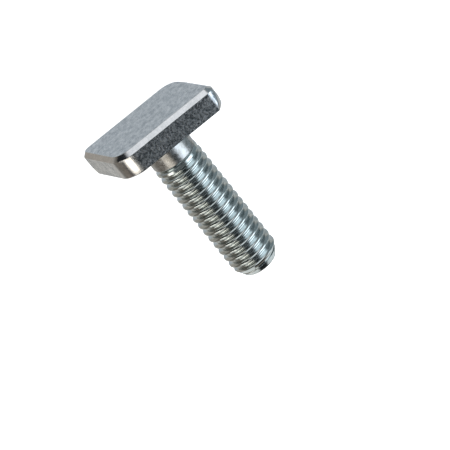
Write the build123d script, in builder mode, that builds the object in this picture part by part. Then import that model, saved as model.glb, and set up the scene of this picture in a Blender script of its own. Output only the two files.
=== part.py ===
from build123d import *
import math
import os

# T slot bolt, M6 x 20, for a profile with a 10 mm slot. Sizes are in millimetres.
# The bolt lies on one long side of its head, as it comes to rest on a bench. The shank points
# along +X from the bearing face of the head, which is at X = 0, and +Z is up.

# Head, a slab with two rounded and two sharp corners
head_length = 15.8  # overall
head_width = 9.1  # between the long sides, a loose fit in the slot
head_thickness = 2.97
head_end_angle = 72.0  # degrees, between a long side and an end
leading_corner_radius = 2.9  # the corners that lead when the bolt is turned in the slot
stopping_corner_radius = 1.0  # the corners that stop the turn against the slot's walls
corner_fall = 0.5  # how far those corners fall short at the bearing face, where forging fills them last
corner_fall_height = 1.6
top_chamfer = 0.52
bearing_edge_break = 0.15

# Neck, the plain part of the shank
neck_diameter = 5.5
neck_length = 2.5
neck_fillet = 0.3  # between the bearing face and the neck

# Thread, M6 x 1, rolled, right hand
shank_length = 19.3  # from the bearing face to the tip
thread_diameter = 5.8  # over the crests
thread_pitch = 1.0
flank_angle = 60.0  # degrees, between the flanks of one ridge
crest_width = 0.12  # flat top of the ridge
root_width = 0.24  # flat bottom of the groove

# Where the thread runs out into the neck
ridge_start_turns = 1.48  # back from the neck's end to the ridge's start, straight above the axis
runout_length = 0.45  # from the neck to the full depth of the groove
first_crest_diameter = 5.5  # the first turn isn't rolled up to full height
crest_rise_length = 1.3  # from the neck to the full height of the crest

# Tip, where the blank's turned point stays plain below the thread
tip_diameter = 4.3
tip_edge_break = 0.12
point_diameter = 5.1  # at the point's wide end
point_length = 1.1
crest_fall_length = 1.5  # from the full height of the crest to the tip
point_set_back = 0.1  # how far the core stays inside the point

# Sizes that follow from those above
flank_run = math.tan(math.radians(flank_angle / 2))  # along the shank, for each unit of depth
thread_depth = (thread_pitch - crest_width - root_width) / 2 / flank_run
crest_radius = thread_diameter / 2
root_radius = crest_radius - thread_depth
ridge_seat = thread_depth / 6  # how far a ridge's foot is set into the core
crest_clearance = thread_depth / 10  # between the crests and the outline that trims the ends
neck_radius = neck_diameter / 2


def make_head():
    """A slab with slanted ends, chamfered all round, its sharp corners falling away to the shank."""
    end_angle = math.radians(head_end_angle)
    end_lean = head_width / math.tan(end_angle)
    point_lost = stopping_corner_radius * (1 / math.tan(end_angle / 2) - 1)
    reach = head_length / 2 + point_lost  # from the middle to a corner that isn't yet rounded
    round_centre = reach - stopping_corner_radius / math.tan(end_angle / 2)
    corner_reach = math.hypot(round_centre, head_width / 2 - stopping_corner_radius) + stopping_corner_radius
    fall_slope = corner_fall / corner_fall_height
    with BuildPart() as head:
        with BuildSketch(Plane.YZ.offset(-head_thickness)) as outline:
            with BuildLine():
                Polyline(
                    (reach, head_width / 2),
                    (end_lean - reach, head_width / 2),
                    (-reach, -head_width / 2),
                    (reach - end_lean, -head_width / 2),
                    close=True,
                )
            make_face()
            fillet(outline.vertices().sort_by(Axis.X)[1:3], radius=leading_corner_radius)
            points = outline.vertices().sort_by(Axis.X)
            fillet([points[0], points[-1]], radius=stopping_corner_radius)
        extrude(amount=head_thickness)
        chamfer(head.faces().sort_by(Axis.X)[0].edges(), length=top_chamfer)
        chamfer(head.faces().sort_by(Axis.X)[-1].edges(), length=bearing_edge_break)
        with BuildSketch(Plane.XY):
            with BuildLine():
                Polyline(
                    (-2 * head_thickness, 0),
                    (-2 * head_thickness, corner_reach - corner_fall + 2 * head_thickness * fall_slope),
                    (head_thickness, corner_reach - corner_fall - head_thickness * fall_slope),
                    (head_thickness, 0),
                    close=True,
                )
            make_face()
        revolve(axis=Axis.X, mode=Mode.INTERSECT)
    return head.part


def make_ridge_turn():
    """One turn of the thread's ridge, swept along its helix from straight above the axis."""
    half_crest = crest_width / 2
    half_foot = half_crest + (thread_depth + ridge_seat) * flank_run
    foot_radius = root_radius - ridge_seat
    with BuildPart() as ridge:
        with BuildLine() as coil:
            Helix(pitch=thread_pitch, height=thread_pitch, radius=crest_radius, direction=(1, 0, 0))
        outward = coil.line @ 0
        across_ridge = Plane(origin=(0, 0, 0), x_dir=(1, 0, 0), z_dir=Vector(1, 0, 0).cross(outward))
        with BuildSketch(across_ridge):
            with BuildLine():
                Polyline(
                    (-half_crest, crest_radius),
                    (half_crest, crest_radius),
                    (half_foot, foot_radius),
                    (-half_foot, foot_radius),
                    close=True,
                )
            make_face()
        sweep(path=coil.line, is_frenet=True)
    return ridge.part


def make_threaded_core():
    """Turns of the ridge on a round core, trimmed to the first crest and to the fall at the tip."""
    ridge_start = neck_length - ridge_start_turns * thread_pitch
    turns = math.ceil((shank_length - ridge_start) / thread_pitch) + 1
    ridge_end = ridge_start + turns * thread_pitch
    clear_radius = crest_radius + crest_clearance
    with BuildPart() as core:
        with BuildSketch(Plane.YZ.offset(ridge_start + thread_pitch / 2)):
            Circle(root_radius)
        extrude(amount=ridge_end - ridge_start - thread_pitch)
        with Locations(*[(ridge_start + turn * thread_pitch, 0, 0) for turn in range(turns)]):
            add(make_ridge_turn())
        with BuildSketch(Plane.XY):
            with BuildLine():
                Polyline(
                    (neck_length, 0),
                    (neck_length, first_crest_diameter / 2),
                    (neck_length + crest_rise_length, clear_radius),
                    (shank_length - crest_fall_length, clear_radius),
                    (shank_length - point_set_back, tip_diameter / 2 - point_set_back),
                    (shank_length - point_set_back, 0),
                    close=True,
                )
            make_face()
        revolve(axis=Axis.X, mode=Mode.INTERSECT)
    return core.part


def make_point():
    """The blank's turned point, a short cone with its edge broken."""
    wide_end = shank_length - point_length
    with BuildPart() as point:
        with BuildSketch(Plane.XY):
            with BuildLine():
                Polyline(
                    (wide_end - point_length, 0),
                    (wide_end, point_diameter / 2),
                    (shank_length, tip_diameter / 2),
                    (shank_length, 0),
                    close=True,
                )
            make_face()
        revolve(axis=Axis.X)
        chamfer(point.faces().sort_by(Axis.X)[-1].edges(), length=tip_edge_break)
    return point.part


def make_bolt():
    """Head, neck and thread, forged and rolled as one piece."""
    with BuildPart() as bolt:
        add(make_head())
        with BuildSketch(Plane.XY):
            with BuildLine():
                Polyline(
                    (-head_thickness / 2, 0),
                    (-head_thickness / 2, neck_radius),
                    (neck_length, neck_radius),
                    (neck_length + runout_length, root_radius),
                    (neck_length + runout_length, 0),
                    close=True,
                )
            make_face()
        revolve(axis=Axis.X)
        under_head = bolt.edges().filter_by(GeomType.CIRCLE).sort_by(lambda edge: abs(edge.center().X))[0]
        fillet(under_head, radius=neck_fillet)
        add(make_threaded_core())
        add(make_point())
    return bolt.part


bolt = make_bolt()
bolt.label = "t_slot_bolt"
os.makedirs("parts", exist_ok=True)
export_step(bolt, "parts/t_slot_bolt.step")
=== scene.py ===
import math

import bmesh
import bpy
from mathutils import Matrix, Vector


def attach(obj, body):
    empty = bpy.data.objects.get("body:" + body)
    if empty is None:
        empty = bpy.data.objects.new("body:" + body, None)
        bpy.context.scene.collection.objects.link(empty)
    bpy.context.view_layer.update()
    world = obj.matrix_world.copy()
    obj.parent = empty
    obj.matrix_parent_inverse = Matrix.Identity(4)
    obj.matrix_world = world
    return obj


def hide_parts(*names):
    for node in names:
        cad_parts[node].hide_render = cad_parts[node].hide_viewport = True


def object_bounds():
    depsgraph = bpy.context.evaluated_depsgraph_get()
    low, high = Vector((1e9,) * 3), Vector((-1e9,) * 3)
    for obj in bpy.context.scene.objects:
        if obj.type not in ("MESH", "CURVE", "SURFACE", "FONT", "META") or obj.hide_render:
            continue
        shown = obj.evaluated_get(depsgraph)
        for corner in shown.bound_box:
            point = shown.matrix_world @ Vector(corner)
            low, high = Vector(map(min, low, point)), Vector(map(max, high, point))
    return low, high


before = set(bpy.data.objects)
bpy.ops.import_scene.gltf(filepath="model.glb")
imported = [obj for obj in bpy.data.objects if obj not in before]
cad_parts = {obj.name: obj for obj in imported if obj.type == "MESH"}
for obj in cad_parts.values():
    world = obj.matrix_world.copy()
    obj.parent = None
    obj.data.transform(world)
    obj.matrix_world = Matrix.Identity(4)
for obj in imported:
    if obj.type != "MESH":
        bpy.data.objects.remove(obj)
cad_low, cad_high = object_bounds()

# T slot bolt, M6 x 20. The shank points along +X from the bearing face of the head, at X = 0.
# The bolt is modelled in millimetres and brought down to metres when it is whole.
METRE = 1000.0

# Head
head_length = 15.8  # between the tips of the sharp corners
head_width = 9.1
head_thickness = 2.97
head_end_angle = math.radians(72)
leading_corner_radius = 2.9
stopping_corner_radius = 1.0
corner_fall = 0.5  # how far the sharp corners fall short at the bearing face
corner_fall_height = 1.6
top_chamfer = 0.52
chamfer_edge_radius = 0.06
bearing_edge_radius = 0.2

# Neck
neck_radius = 2.75
neck_length = 2.5
neck_fillet = 0.3
neck_fillet_share = 0.98  # of the fillet, kept back so that its foot stays clear of the corner
neck_edge_radius = 0.06  # where the neck meets the run-out
neck_sink = 0.004  # how far the fillet's foot lies inside the head

# Thread
pitch = 1.0
crest_radius = 2.9
crest_rounding = 0.2  # the crest has no flat
root_width = 0.18
root_rounding = 0.12
flank_bulge = 0.015  # how far a flank bows outwards at its middle
flank_slope = math.tan(math.radians(30))
thread_depth = (pitch - root_width) / 2 / flank_slope - crest_rounding
root_radius = crest_radius - thread_depth
runout_length = 0.45
runout_dip = 0.03  # below the root, so that the two surfaces cross cleanly
first_crest_radius = 2.75
crest_rise_length = 1.3
ridge_start = 1.48  # turns before the end of the neck, straight above the axis

# Tip
shank_length = 19.3
tip_radius = 2.15
tip_chamfer_length = 1.0
tip_edge_radius = 0.2
point_radius = 2.55  # of the blank's point, which the thread doesn't reach
point_length = 1.1

round_steps = 96  # facets round the shank
arc_facets = 8  # over a crest, and half as many over each side of a root
overlap = 0.2  # how far solids that are joined reach into each other
smooth_angle = math.radians(32)  # edges sharper than this stay crisp


# ---------------------------------------------------------------- modelling


def pick(kind, wanted):
    """Selects the vertices, edges or faces whose own points all pass the test."""
    bpy.ops.mesh.select_mode(type=kind)
    bpy.ops.mesh.select_all(action="DESELECT")
    mesh = bmesh.from_edit_mesh(bpy.context.edit_object.data)
    parts = {"VERT": mesh.verts, "EDGE": mesh.edges, "FACE": mesh.faces}[kind]
    for part in parts:
        points = [part.co] if kind == "VERT" else [corner.co for corner in part.verts]
        if all(wanted(point) for point in points):
            part.select_set(True)
    bmesh.update_edit_mesh(bpy.context.edit_object.data)


def pick_edges(wanted):
    """Selects the edges that the test accepts."""
    bpy.ops.mesh.select_mode(type="EDGE")
    bpy.ops.mesh.select_all(action="DESELECT")
    mesh = bmesh.from_edit_mesh(bpy.context.edit_object.data)
    for edge in mesh.edges:
        if wanted(edge):
            edge.select_set(True)
    bmesh.update_edit_mesh(bpy.context.edit_object.data)


def edit(on):
    bpy.ops.object.mode_set(mode="EDIT" if on else "OBJECT")


def draw_outline(name, points):
    """A line through the points, drawn by extruding one point from each to the next."""
    bpy.ops.object.select_all(action="DESELECT")
    bpy.ops.mesh.primitive_plane_add(size=1, location=(0, 0, 0))
    outline = bpy.context.object
    outline.name = name
    edit(True)
    bpy.ops.mesh.select_mode(type="VERT")
    bpy.ops.mesh.select_all(action="SELECT")
    bpy.ops.mesh.merge(type="CENTER")
    bpy.ops.transform.translate(value=points[0])
    for here, there in zip(points, points[1:]):
        step = Vector(there) - Vector(here)
        bpy.ops.mesh.extrude_region_move(TRANSFORM_OT_translate={"value": step})
    edit(False)
    return outline


def apply_modifier(piece, kind, **settings):
    modifier = piece.modifiers.new(kind.title(), kind)
    for key, value in settings.items():
        setattr(modifier, key, value)
    bpy.context.view_layer.objects.active = piece
    bpy.ops.object.modifier_apply(modifier=modifier.name)


def close_up(piece):
    """Merges what meets, and points every face outwards."""
    bpy.ops.object.select_all(action="DESELECT")
    piece.select_set(True)
    bpy.context.view_layer.objects.active = piece
    edit(True)
    bpy.ops.mesh.select_all(action="SELECT")
    bpy.ops.mesh.remove_doubles(threshold=0.0002)
    bpy.ops.mesh.normals_make_consistent(inside=False)
    edit(False)


def turn_outline(name, points, rounded=(), steps=round_steps):
    """A solid turned about the X axis from its outline, with the given corners rounded."""
    solid = draw_outline(name, points)
    edit(True)
    for corner, radius in rounded:
        pick("VERT", lambda point: (point - Vector(corner)).length < 0.001)
        bpy.ops.mesh.bevel(offset=radius, offset_type="OFFSET", segments=5, affect="VERTICES")
    bpy.ops.mesh.select_all(action="SELECT")
    bpy.ops.mesh.spin(steps=steps, angle=math.tau, center=(0, 0, 0), axis=(1, 0, 0))
    edit(False)
    close_up(solid)
    return solid


def combine(piece, other, how):
    """Joins the other solid to the piece, or keeps what they share."""
    apply_modifier(piece, "BOOLEAN", operation=how, solver="EXACT", object=other)
    bpy.data.objects.remove(other)


def round_over(start, stop, radius, facets):
    """The steps, in from the rim and out along the face's normal, of an arc between two slopes."""
    chord = 2 * radius * math.sin((stop - start) / facets / 2)
    slopes = [start + (stop - start) * (facet + 0.5) / facets for facet in range(facets)]
    return [(chord * math.sin(slope), chord * math.cos(slope)) for slope in slopes]


def shape_rim(steps):
    """Insets the picked face in steps, each raised along its normal."""
    for inwards, outwards in steps:
        bpy.ops.mesh.inset(thickness=inwards, depth=outwards, use_even_offset=True)


def round_corner(corner, before, after, radius, facets):
    """The points of the arc that rounds a corner of an outline."""
    back = (before - corner).normalized()
    onward = (after - corner).normalized()
    half_angle = back.angle(onward) / 2
    centre = corner + (back + onward).normalized() * radius / math.sin(half_angle)
    first = (corner + back * radius / math.tan(half_angle) - centre).normalized()
    last = (corner + onward * radius / math.tan(half_angle) - centre).normalized()
    return [centre + first.slerp(last, facet / facets) * radius for facet in range(facets + 1)]


def forge_head():
    lean = head_width / math.tan(head_end_angle)
    point_lost = stopping_corner_radius * (1 / math.tan(head_end_angle / 2) - 1)
    reach = head_length / 2 + point_lost
    side = head_width / 2
    foot = -bearing_edge_radius
    corners = [
        (Vector((foot, reach, side)), stopping_corner_radius, 8),
        (Vector((foot, lean - reach, side)), leading_corner_radius, 28),
        (Vector((foot, -reach, -side)), stopping_corner_radius, 8),
        (Vector((foot, reach - lean, -side)), leading_corner_radius, 28),
    ]
    outline = []
    for here, (corner, radius, facets) in enumerate(corners):
        before, after = corners[here - 1][0], corners[(here + 1) % len(corners)][0]
        outline += round_corner(corner, before, after, radius, facets)
    head = draw_outline("t_slot_bolt_steel", outline)
    edit(True)
    bpy.ops.mesh.select_all(action="SELECT")
    bpy.ops.mesh.edge_face_add()
    height = head_thickness - top_chamfer - bearing_edge_radius
    bpy.ops.mesh.extrude_region_move(TRANSFORM_OT_translate={"value": (-height, 0, 0)})
    bpy.ops.mesh.select_all(action="SELECT")
    bpy.ops.mesh.normals_make_consistent(inside=False)
    # chamfer round the top, with its edges just broken
    half = math.radians(45)
    square = math.radians(90)
    lower_break = round_over(0, half, chamfer_edge_radius, 3)
    upper_break = round_over(half, square, chamfer_edge_radius, 3)
    slope = top_chamfer - sum(inwards for inwards, outwards in lower_break + upper_break)
    pick("FACE", lambda point: point.x < foot - height + 0.001)
    shape_rim(lower_break + [(slope, slope)] + upper_break)
    # bearing face, its edge rounded
    pick("FACE", lambda point: point.x > foot - 0.001)
    shape_rim(round_over(0, square, bearing_edge_radius, 5))
    edit(False)
    close_up(head)
    # the sharp corners fall away towards the shank
    round_centre = reach - stopping_corner_radius / math.tan(head_end_angle / 2)
    corner_reach = math.hypot(round_centre, side - stopping_corner_radius) + stopping_corner_radius
    far = 2 * head_thickness
    spread = far * corner_fall / corner_fall_height
    rim = corner_reach - corner_fall
    cone = [(-far, 0, 0), (-far, 0, rim + spread), (far, 0, rim - spread), (far, 0, 0)]
    combine(head, turn_outline("corner_cone", cone, steps=4 * round_steps), "INTERSECT")
    return head


def turn_neck():
    """The neck, with the fillet under the head and the cone where the thread runs out."""
    inside = -head_thickness / 2
    runout = neck_length + runout_length
    outline = [
        (inside, 0, 0),
        (inside, 0, neck_radius + neck_fillet),
        (-neck_sink, 0, neck_radius + neck_fillet),
        (-neck_sink, 0, neck_radius),
        (neck_length, 0, neck_radius),
        (runout, 0, root_radius - runout_dip),
        (runout + pitch, 0, root_radius - overlap),
        (runout + pitch, 0, 0),
    ]
    rounded = [
        ((-neck_sink, 0, neck_radius), neck_fillet * neck_fillet_share),
        ((neck_length, 0, neck_radius), neck_edge_radius),
    ]
    return turn_outline("neck", outline, rounded)


def swell(low, high):
    """Three points that carry a line from one point to the next in a shallow outward bow."""
    along = high - low
    outwards = Vector((-along.z, 0, along.x)).normalized()
    shares = (0.25, 0.5, 0.75)
    return [low + along * share + outwards * flank_bulge * 4 * share * (1 - share) for share in shares]


def roll_thread():
    """One ridge's outline screwed along the shank, closed at both ends."""
    first = neck_length - ridge_start * pitch
    half_foot = (pitch - root_width) / 2
    peak = Vector((first, 0, crest_radius + crest_rounding))  # where the flanks would meet
    offsets = (-pitch / 2, -half_foot, half_foot, pitch / 2)
    start, left, right, stop = [Vector((first + offset, 0, root_radius)) for offset in offsets]
    left_root = round_corner(left, start, peak, root_rounding, arc_facets // 2)
    crest = round_corner(peak, left, right, crest_rounding, arc_facets)
    right_root = round_corner(right, peak, stop, root_rounding, arc_facets // 2)
    left_flank = swell(left_root[-1], crest[0])
    right_flank = swell(crest[-1], right_root[0])
    outline = [start] + left_root + left_flank + crest + right_flank + right_root + [stop]
    thread = draw_outline("thread", outline)
    turns = math.ceil((shank_length - first) / pitch) + 1
    apply_modifier(
        thread,
        "SCREW",
        axis="X",
        angle=math.tau,
        screw_offset=pitch,
        iterations=turns,
        steps=round_steps,
        render_steps=round_steps,
        use_smooth_shade=False,
    )
    close_up(thread)
    edit(True)
    for near in (True, False):
        middle = shank_length / 2
        pick_edges(lambda edge: edge.is_boundary and (edge.verts[0].co.x < middle) == near)
        bpy.ops.mesh.edge_face_add()
        bpy.ops.mesh.poke()
    edit(False)
    close_up(thread)
    return thread


def turn_point():
    """The chamfered end of the blank, which the rolls leave plain."""
    tip_corner = (shank_length, 0, tip_radius)
    outline = [
        (shank_length - point_length - pitch, 0, 0),
        (shank_length - point_length - pitch, 0, root_radius - overlap),
        (shank_length - point_length - overlap / 2, 0, root_radius - overlap / 2),
        (shank_length - point_length, 0, point_radius),
        tip_corner,
        (shank_length, 0, 0),
    ]
    return turn_outline("point", outline, [(tip_corner, tip_edge_radius)])


def turn_envelope():
    """What the thread is trimmed to: the first crest's rise and the chamfer at the tip."""
    clear = crest_radius + thread_depth / 10
    start = neck_length - 2 * overlap
    chamfer_start = shank_length - tip_chamfer_length - 0.5
    stop = shank_length - 0.01  # just short of the point's end, which is the bolt's own
    outline = [
        (start, 0, 0),
        (start, 0, first_crest_radius - 0.1),
        (neck_length, 0, first_crest_radius),
        (neck_length + crest_rise_length, 0, clear),
        (chamfer_start, 0, clear),
        (stop, 0, tip_radius - 0.05),
        (stop, 0, 0),
    ]
    return turn_outline("envelope", outline)


def make_bolt():
    thread = roll_thread()
    combine(thread, turn_envelope(), "INTERSECT")
    combine(thread, turn_point(), "UNION")
    neck = turn_neck()
    combine(neck, thread, "UNION")
    bolt = forge_head()
    combine(bolt, neck, "UNION")
    close_up(bolt)
    bolt.scale = (1 / METRE, 1 / METRE, 1 / METRE)
    bpy.ops.object.transform_apply(location=True, rotation=True, scale=True)
    bpy.ops.object.shade_smooth_by_angle(angle=smooth_angle)
    apply_modifier(bolt, "WEIGHTED_NORMAL", keep_sharp=True)
    return bolt


# ---------------------------------------------------------------- finishes


def linear(hex_colour):
    """An sRGB hex colour as linear red, green, blue and alpha."""
    values = [int(hex_colour[i : i + 2], 16) / 255 for i in (0, 2, 4)]
    return [v / 12.92 if v <= 0.04045 else ((v + 0.055) / 1.055) ** 2.4 for v in values] + [1.0]


def add_node(tree, kind, inputs=None, **settings):
    """Adds a node. An input is a plain value, or the output of another node."""
    node = tree.nodes.new(kind)
    for key, value in settings.items():
        setattr(node, key, value)
    for key, value in (inputs or {}).items():
        if isinstance(value, bpy.types.NodeSocket):
            tree.links.new(value, node.inputs[key])
        else:
            node.inputs[key].default_value = value
    return node


def new_material(name):
    material = bpy.data.materials.new(name)
    material.use_nodes = True
    material.node_tree.nodes.clear()
    return material, material.node_tree


def per_mm(size):
    """The scale of a pattern whose features are this many millimetres apart."""
    return METRE / size


def stainless_steel(name, coarse, fine, colours, roughness, relief):
    """Steel with a coarse and a fine grain, their sizes and the relief's depth in millimetres."""
    material, tree = new_material(name)
    place = add_node(tree, "ShaderNodeTexCoord").outputs["Object"]
    grain, pits = [
        add_node(
            tree,
            "ShaderNodeTexNoise",
            {"Vector": place, "Scale": per_mm(size), "Detail": 3.0, "Roughness": 0.6},
        ).outputs["Fac"]
        for size in (coarse, fine)
    ]
    tone = add_node(tree, "ShaderNodeMath", {0: grain, 1: pits}, operation="ADD")
    spread = add_node(
        tree, "ShaderNodeMapRange", {"Value": tone.outputs[0], "From Min": 0.7, "From Max": 1.3}
    )
    colour = add_node(
        tree,
        "ShaderNodeMix",
        {"Factor": spread.outputs[0], 6: linear(colours[0]), 7: linear(colours[1])},
        data_type="RGBA",
    )
    rough = add_node(
        tree,
        "ShaderNodeMapRange",
        {
            "Value": pits,
            "From Min": 0.3,
            "From Max": 0.7,
            "To Min": roughness[0],
            "To Max": roughness[1],
        },
    )
    bump = add_node(
        tree, "ShaderNodeBump", {"Height": tone.outputs[0], "Strength": 0.5, "Distance": relief / METRE}
    )
    shader = add_node(
        tree,
        "ShaderNodeBsdfPrincipled",
        {
            "Base Color": colour.outputs[2],
            "Metallic": 1.0,
            "Roughness": rough.outputs[0],
            "Normal": bump.outputs[0],
        },
    )
    add_node(tree, "ShaderNodeOutputMaterial", {"Surface": shader.outputs[0]})
    return material


def finishes():
    """The skins that forging, drawing and rolling leave on the bolt, in the order that dress_bolt uses."""
    return [
        # cold-forged and tumbled, as on the head's flats: a satin grey mottled with dark pits that glint
        stainless_steel(
            "cold_forged_stainless_steel", 0.75, 0.22, ("969ea4", "dde1e4"), (0.2, 0.36), 0.035
        ),
        # burnished by the die, as on chamfers and corners: nearly smooth, so that light runs along them
        stainless_steel("die_burnished_stainless_steel", 0.8, 0.2, ("b8bcbe", "d2d4d6"), (0.1, 0.2), 0.008),
        # drawn wire, as on the neck: scuffed enough to blur what it mirrors
        stainless_steel("drawn_stainless_steel", 0.9, 0.3, ("92928f", "bec2c4"), (0.22, 0.36), 0.02),
        # thread rolled, as on crests and roots: nearly a mirror, with a faint waviness
        stainless_steel(
            "thread_rolled_stainless_steel", 1.4, 0.5, ("acb6b6", "c6cece"), (0.1, 0.16), 0.002
        ),
        # rubbed by the rolls, as on the thread's flanks: a satin that greys what it mirrors
        stainless_steel("rubbed_stainless_steel", 1.2, 0.4, ("a8b0b0", "c6cccc"), (0.14, 0.2), 0.002),
    ]


def dress_bolt(bolt):
    """Gives each part of the bolt the skin that its forming left."""
    forged, burnished, drawn, rolled, rubbed = range(5)
    bolt.data.materials.clear()
    for finish in finishes():
        bolt.data.materials.append(finish)
    end_normal = math.sin(head_end_angle)  # across the shank, of the ends of the head
    for face in bolt.data.polygons:
        along, across, up = face.center * METRE
        if along > neck_length:
            face.material_index = rubbed if abs(face.normal.x) > 0.8 else rolled
        elif along > 0.001:
            face.material_index = drawn
        else:
            normal = face.normal
            end_face = abs(abs(normal.y) - end_normal) < 0.001
            flat = abs(normal.x) > 0.999 or abs(normal.z) > 0.97 or end_face
            stopping = abs(normal.x) < 0.01 and normal.y * normal.z > 0
            face.material_index = forged if flat or stopping else burnished


# ---------------------------------------------------------------- studio


def lay_floor():
    """A backlit sheet of white acrylic under the bolt."""
    bpy.ops.object.select_all(action="DESELECT")
    bpy.ops.mesh.primitive_plane_add(size=4, location=(0, 0, cad_low.z))
    floor = bpy.context.object
    floor.name = "floor"
    material, tree = new_material("white_acrylic_floor")
    shader = add_node(
        tree,
        "ShaderNodeBsdfPrincipled",
        {
            "Base Color": linear("fafafa"),
            "Roughness": 0.8,
            "Emission Color": linear("ffffff"),
            "Emission Strength": 0.95,
        },
    )
    add_node(tree, "ShaderNodeOutputMaterial", {"Surface": shader.outputs[0]})
    floor.data.materials.append(material)
    floor.visible_glossy = False


def softbox(name, towards, across, width, height, radiance, hex_colour, distance=0.5):
    """A soft lamp in the direction given, brightest in its middle, its width along the other direction."""
    out = Vector(towards).normalized()
    side = (Vector(across) - out * out.dot(Vector(across))).normalized()
    up = out.cross(side)
    lamp = bpy.data.lights.new(name, "AREA")
    lamp.shape = "RECTANGLE"
    lamp.size, lamp.size_y = width, height
    lamp.energy = radiance * math.pi * width * height
    lamp.color = linear(hex_colour)[:3]
    lamp.use_nodes = True
    tree = lamp.node_tree
    tree.nodes.clear()
    spot = add_node(tree, "ShaderNodeNewGeometry").outputs["Parametric"]
    place = add_node(tree, "ShaderNodeSeparateXYZ", {"Vector": spot})
    falls = []
    for axis in ("X", "Y"):
        middle = add_node(tree, "ShaderNodeMath", {0: place.outputs[axis], 1: 0.5}, operation="SUBTRACT")
        away = add_node(tree, "ShaderNodeMath", {0: middle.outputs[0]}, operation="ABSOLUTE")
        fall = add_node(
            tree,
            "ShaderNodeMapRange",
            {"Value": away.outputs[0], "From Min": 0.5, "From Max": 0.15},
            interpolation_type="SMOOTHSTEP",
        )
        falls.append(fall.outputs[0])
    strength = add_node(tree, "ShaderNodeMath", {0: falls[0], 1: falls[1]}, operation="MULTIPLY")
    glow = add_node(tree, "ShaderNodeEmission", {"Strength": strength.outputs[0]})
    add_node(tree, "ShaderNodeOutputLight", {"Surface": glow.outputs[0]})
    light = bpy.data.objects.new(name, lamp)
    bpy.context.scene.collection.objects.link(light)
    turn = Matrix((side, up, out)).transposed().to_4x4()
    light.matrix_world = Matrix.Translation(out * distance) @ turn
    light.visible_camera = False


def on_arc(turn, slope=0.4067):
    """A direction this many degrees from overhead towards +Y, as the shank's sides mirror it."""
    reach = math.sqrt(1 - slope * slope)
    return (slope, reach * math.sin(math.radians(turn)), reach * math.cos(math.radians(turn)))


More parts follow.
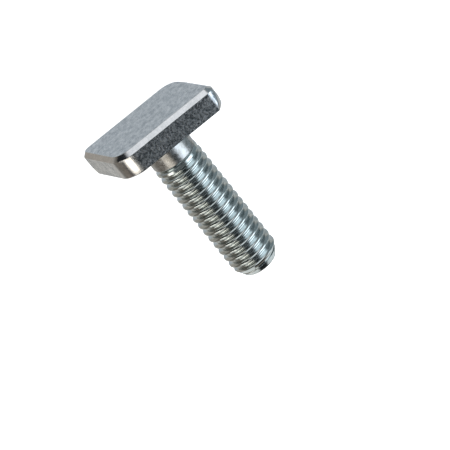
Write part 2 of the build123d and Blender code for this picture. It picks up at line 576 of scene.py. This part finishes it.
def light_studio():
    softbox("warm_softbox", on_arc(-41, 0.38), (1, 0, 0), 0.2, 0.48, 2.9, "fff3e4")
    softbox("left_softbox", on_arc(-64, 0.0), (1, 0, 0), 0.3, 0.4, 3.0, "fff6ec")
    softbox("cool_softbox", on_arc(45), (1, 0, 0), 0.9, 0.58, 2.6, "eef6ff")
    softbox("rear_softbox", (-0.899, 0.0, 0.438), (0, 1, 0), 0.6, 0.7, 1.15, "f8f9fc")
    world = bpy.data.worlds.new("studio")
    bpy.context.scene.world = world
    world.use_nodes = True
    tree = world.node_tree
    tree.nodes.clear()
    direction = add_node(tree, "ShaderNodeTexCoord").outputs["Generated"]
    parts = add_node(tree, "ShaderNodeSeparateXYZ", {"Vector": direction})
    level = add_node(
        tree, "ShaderNodeMapRange", {"Value": parts.outputs["Z"], "From Min": -1.0, "From Max": 1.0}
    )
    walls = add_node(tree, "ShaderNodeValToRGB", {"Fac": level.outputs[0]})
    bands = [
        (-1.0, "d0d6dc"),
        (-0.72, "c8ccce"),
        (-0.58, "d8d6d2"),
        (-0.4, "908a82"),
        (-0.15, "8c847a"),
        (0.1, "887e74"),
        (0.35, "585654"),
        (0.6, "38444a"),
        (0.85, "1c2428"),
    ]
    # where each direction passes from nothing of a colour to the whole of it
    patches = [
        ([("X", 0.45, 0.6), ("Z", 0.4, 0.65)], "30363a"),  # ceiling past the tip
        ([("X", 0.3, 0.05), ("Z", 0.3, 0.5)], "6c7072"),  # ceiling behind the head
        # bluish wall on the right
        ([("Y", 0.3, 0.55), ("Z", 0.75, 0.55), ("Z", -0.6, -0.4)], "8c989e"),
        ([("Y", -0.3, -0.55), ("Z", -0.5, -0.64)], "d0cac2"),  # warm sheet on the left
        # its shaded part by the head
        ([("X", 0.1, -0.2), ("Y", -0.4, -0.6), ("Z", -0.4, -0.55)], "bcb4aa"),
        # dark card behind it
        ([("X", -0.45, -0.62), ("Y", -0.25, -0.45), ("Z", -0.35, -0.15)], "26282a"),
        ([("X", 0.78, 0.88), ("Z", 0.6, 0.45), ("Z", -0.26, -0.12)], "2a2c2e"),  # dark card past the tip
        ([("X", 0.6, 0.72), ("Y", -0.2, -0.34), ("Z", 0.5, 0.32)], "fffdfa"),  # white cards beside it
        ([("X", 0.6, 0.72), ("Y", 0.2, 0.34), ("Z", 0.5, 0.32)], "fafdff"),
    ]
    ramp = walls.color_ramp
    while len(ramp.elements) < len(bands):
        ramp.elements.new(0.5)
    for stop, (where, colour) in zip(ramp.elements, bands):
        stop.position = (where + 1) / 2
        stop.color = linear(colour)
    room_colour = walls.outputs[0]
    for limits, colour in patches:
        share = 1.0
        for axis, nothing, whole in limits:
            part = add_node(
                tree,
                "ShaderNodeMapRange",
                {"Value": parts.outputs[axis], "From Min": nothing, "From Max": whole},
                interpolation_type="SMOOTHSTEP",
            )
            share = add_node(
                tree, "ShaderNodeMath", {0: part.outputs[0], 1: share}, operation="MULTIPLY"
            ).outputs[0]
        room_colour = add_node(
            tree, "ShaderNodeMix", {"Factor": share, 6: room_colour, 7: linear(colour)}, data_type="RGBA"
        ).outputs[2]
    room = add_node(tree, "ShaderNodeBackground", {"Color": room_colour})
    pale = add_node(tree, "ShaderNodeBackground", {"Color": linear("fbfbfb")})
    seen = add_node(tree, "ShaderNodeLightPath").outputs["Is Camera Ray"]
    both = add_node(tree, "ShaderNodeMixShader", {"Fac": seen, 1: room.outputs[0], 2: pale.outputs[0]})
    add_node(tree, "ShaderNodeOutputWorld", {"Surface": both.outputs[0]})


def place_camera():
    """A long lens that looks down on the bolt past the back of its head."""
    target_right, target_down = 7.12, 9.53  # millimetres, from where the shank meets the head
    distance = 0.441
    tilt = math.radians(24)  # from square on to the shank, towards the head
    turn = math.radians(51.1)  # the shank's slope in the frame
    along = Vector((math.cos(tilt), 0, math.sin(tilt)))
    across = Vector((0, 1, 0))
    back = along.cross(across)
    right = along * math.cos(turn) + across * math.sin(turn)
    up = back.cross(right)
    target = (right * target_right - up * target_down) / METRE
    lens = bpy.data.cameras.new("camera")
    lens.lens = 320
    lens.sensor_width = 36
    lens.clip_start, lens.clip_end = 0.05, 10
    camera = bpy.data.objects.new("camera", lens)
    bpy.context.scene.collection.objects.link(camera)
    stand = Matrix((right, up, back)).transposed().to_4x4()
    camera.matrix_world = Matrix.Translation(target + back * distance) @ stand
    bpy.context.scene.camera = camera


bolt = make_bolt()
dress_bolt(bolt)
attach(bolt, "root")
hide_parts("t_slot_bolt")
lay_floor()
light_studio()
place_camera()
bpy.context.scene.view_settings.view_transform = "Standard"
